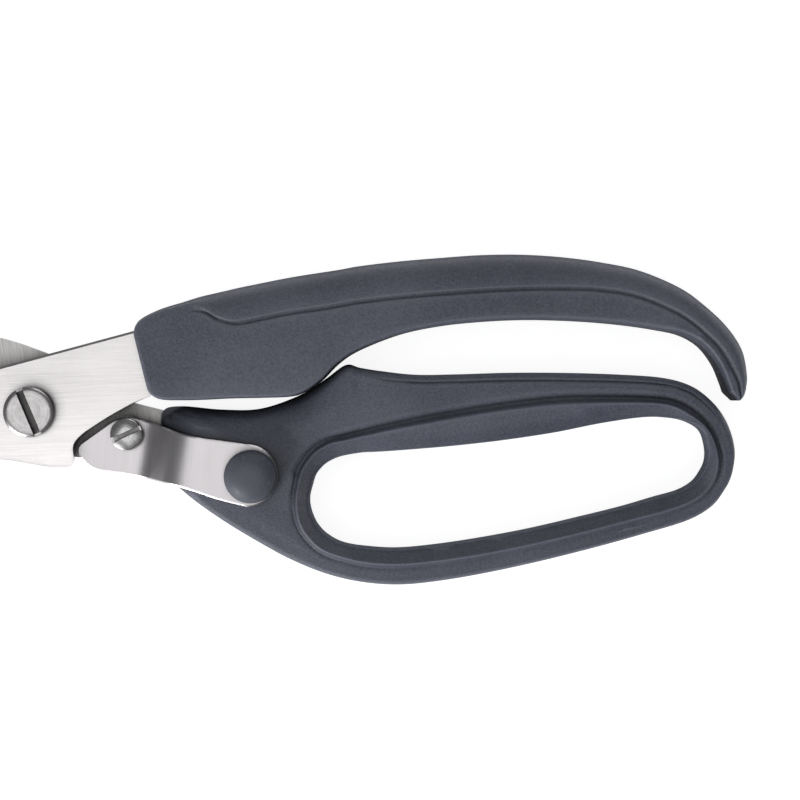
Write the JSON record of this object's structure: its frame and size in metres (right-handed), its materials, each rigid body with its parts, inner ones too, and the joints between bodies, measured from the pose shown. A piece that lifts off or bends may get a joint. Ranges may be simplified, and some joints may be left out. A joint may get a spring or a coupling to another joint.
{
  "type": "poultry shears",
  "caption": "Poultry shears with curved steel blades on a slotted pivot screw, one hooked and one looped plastic handle, and a bent steel thumb lock lever.",
  "frame": {"origin": "on the pivot axis, at the centre of the pivot nut's back face, which lies in the plane that the shears rest on", "axes": "+X from the pivot towards the handles, the blades point to -X; +Z along the pivot axis, from the nut to the screw head; +Y towards the hooked upper handle"},
  "size_m": [0.2526, 0.0692, 0.019],
  "materials": {
    "handle_plastic": "fine matte grain, dark slate grey",
    "blade_steel": "brushed along the blade",
    "screw_steel": "turned",
    "spring_steel": "drawn wire",
    "lever_steel": "brushed across the lever",
    "button_plastic": "smooth satin"
  },
  "bodies": {
    "lower_half": {"lower_handle": "handle_plastic", "rear_blade": "blade_steel", "pivot_screw": "screw_steel", "pivot_nut": "screw_steel", "pivot_washer": "screw_steel", "opening_spring": "spring_steel", "lock_screw": "screw_steel", "lock_washer": "screw_steel"},
    "upper_half": {"upper_handle": "handle_plastic", "front_blade": "blade_steel"},
    "lock": {"lock_lever": "lever_steel", "lock_button": "button_plastic", "button_stud": "screw_steel"}
  },
  "joints": [
    {"name": "blade_pivot", "type": "hinge", "parent": "lower_half", "child": "upper_half", "pos_m": [0, 0, 0.007], "axis": [0, 0, 1], "range_deg": [0, 38], "deforming": ["opening_spring"]},
    {"name": "lock_pivot", "type": "hinge", "parent": "lower_half", "child": "lock", "pos_m": [0.0202, -0.0047, 0.0083], "axis": [0, 0, 1], "range_deg": [-3.5, 16]}
  ]
}
